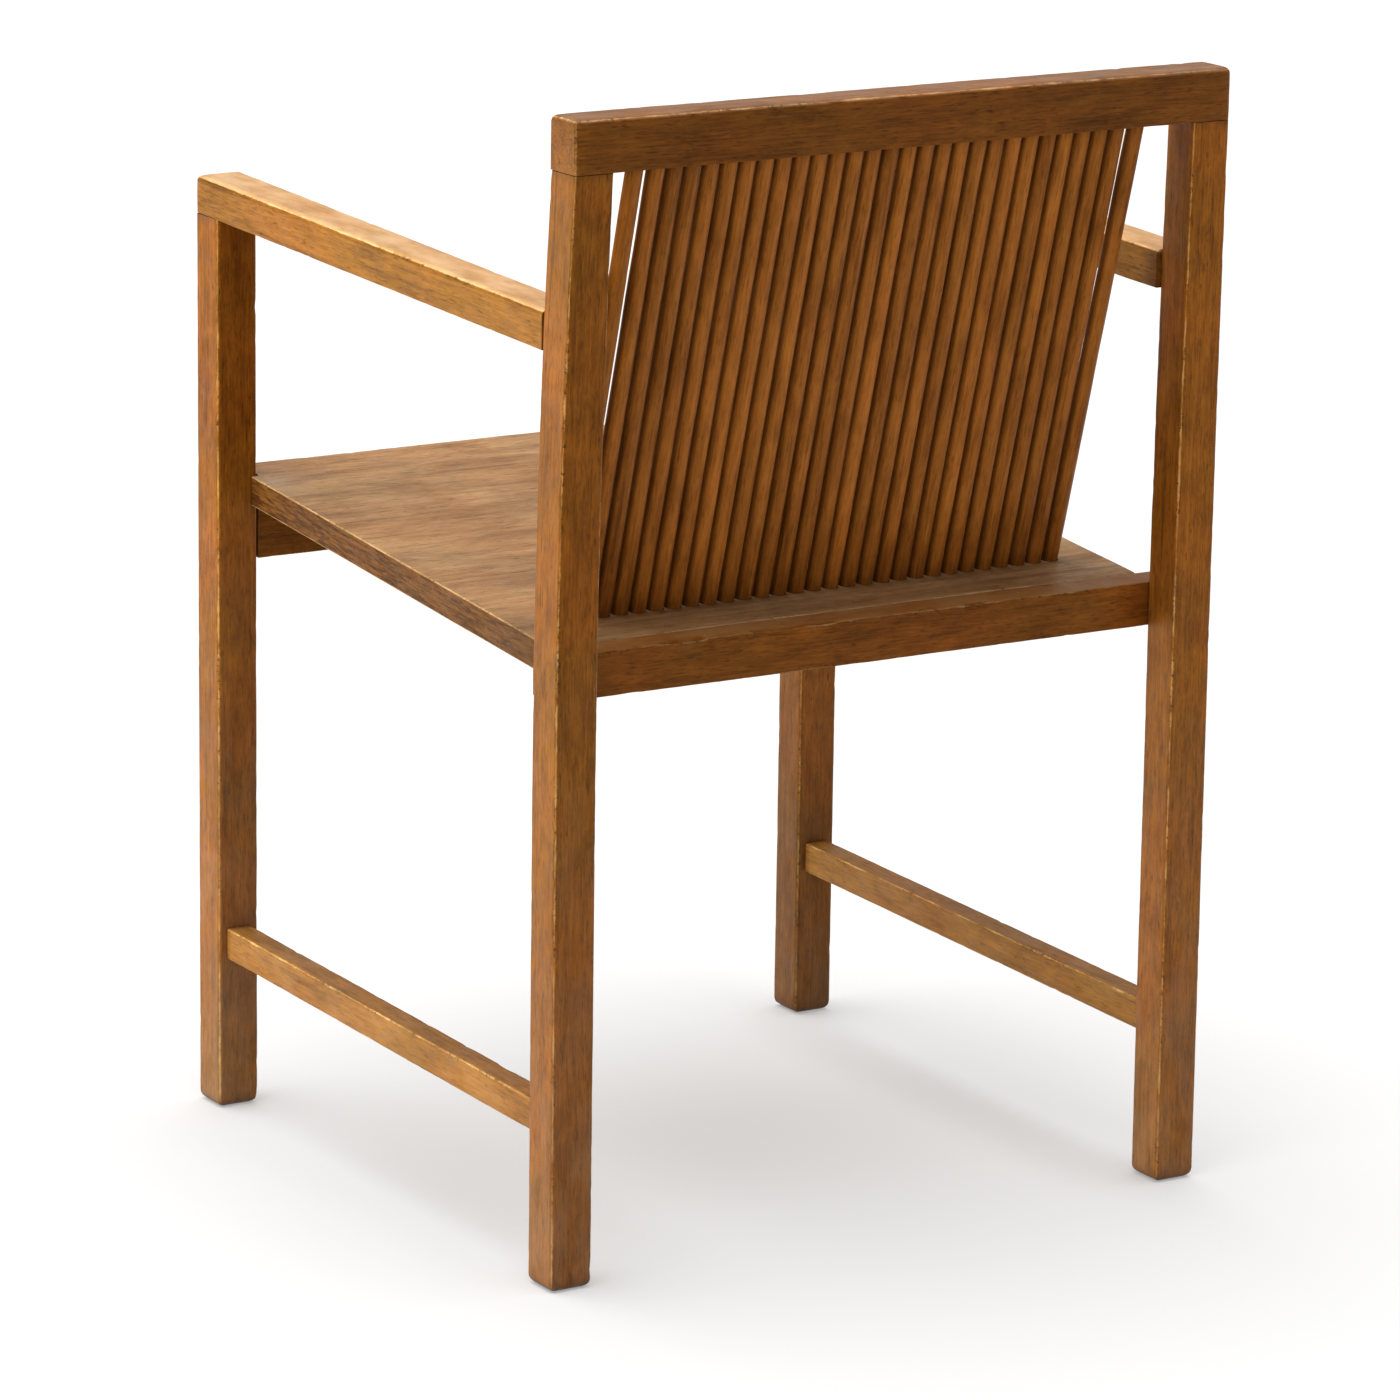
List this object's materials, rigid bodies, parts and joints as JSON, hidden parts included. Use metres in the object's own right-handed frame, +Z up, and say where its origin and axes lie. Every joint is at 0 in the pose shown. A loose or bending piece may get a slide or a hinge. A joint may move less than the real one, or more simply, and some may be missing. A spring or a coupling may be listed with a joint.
{
  "type": "wooden armchair",
  "caption": "Square-legged wooden armchair with flat arms, a sloping board seat, low side stretchers and a leaning back of round rods under a straight top rail.",
  "frame": {"origin": "on the floor, under the centre of the chair's overall box", "axes": "+Z up, -Y towards the front of the chair, +X towards the sitter's left"},
  "size_m": [0.534, 0.526, 0.804],
  "materials": {
    "frame_wood": "golden brown stained hardwood, satin, worn lighter on its arrises",
    "arm_wood": "the same wood, paler and smoother where hands rest",
    "seat_wood": "faded board with side-to-side grain, reddish and grey streaks, dull satin",
    "rod_wood": "round rods in mixed brown tones, satin",
    "dowel_wood": "bare beech"
  },
  "bodies": {
    "root": {"arm_front_dowel_left": "dowel_wood", "arm_front_dowel_right": "dowel_wood", "arm_left": "arm_wood", "arm_rear_dowel_left": "dowel_wood", "arm_rear_dowel_right": "dowel_wood", "arm_right": "arm_wood", "back_rod_01": "rod_wood", "back_rod_02": "rod_wood", "back_rod_03": "rod_wood", "back_rod_04": "rod_wood", "back_rod_05": "rod_wood", "back_rod_06": "rod_wood", "back_rod_07": "rod_wood", "back_rod_08": "rod_wood", "back_rod_09": "rod_wood", "back_rod_10": "rod_wood", "back_rod_11": "rod_wood", "back_rod_12": "rod_wood", "back_rod_13": "rod_wood", "back_rod_14": "rod_wood", "back_rod_15": "rod_wood", "back_rod_16": "rod_wood", "back_rod_17": "rod_wood", "back_rod_18": "rod_wood", "back_rod_19": "rod_wood", "back_rod_20": "rod_wood", "back_rod_21": "rod_wood", "back_rod_22": "rod_wood", "back_rod_23": "rod_wood", "back_rod_24": "rod_wood", "back_rod_25": "rod_wood", "back_rod_26": "rod_wood", "back_rod_27": "rod_wood", "back_rod_28": "rod_wood", "back_rod_29": "rod_wood", "front_leg_left": "frame_wood", "front_leg_right": "frame_wood", "front_seat_rail": "frame_wood", "rear_post_left": "frame_wood", "rear_post_right": "frame_wood", "rear_seat_rail": "frame_wood", "seat_board": "seat_wood", "seat_front_dowel_1": "dowel_wood", "seat_front_dowel_2": "dowel_wood", "seat_front_dowel_3": "dowel_wood", "seat_post_dowel_left": "dowel_wood", "seat_post_dowel_right": "dowel_wood", "seat_rear_dowel_1": "dowel_wood", "seat_rear_dowel_2": "dowel_wood", "seat_rear_dowel_3": "dowel_wood", "side_stretcher_left": "frame_wood", "side_stretcher_right": "frame_wood", "top_rail": "frame_wood", "top_rail_dowel_left": "dowel_wood", "top_rail_dowel_right": "dowel_wood"}
  },
  "joints": []
}
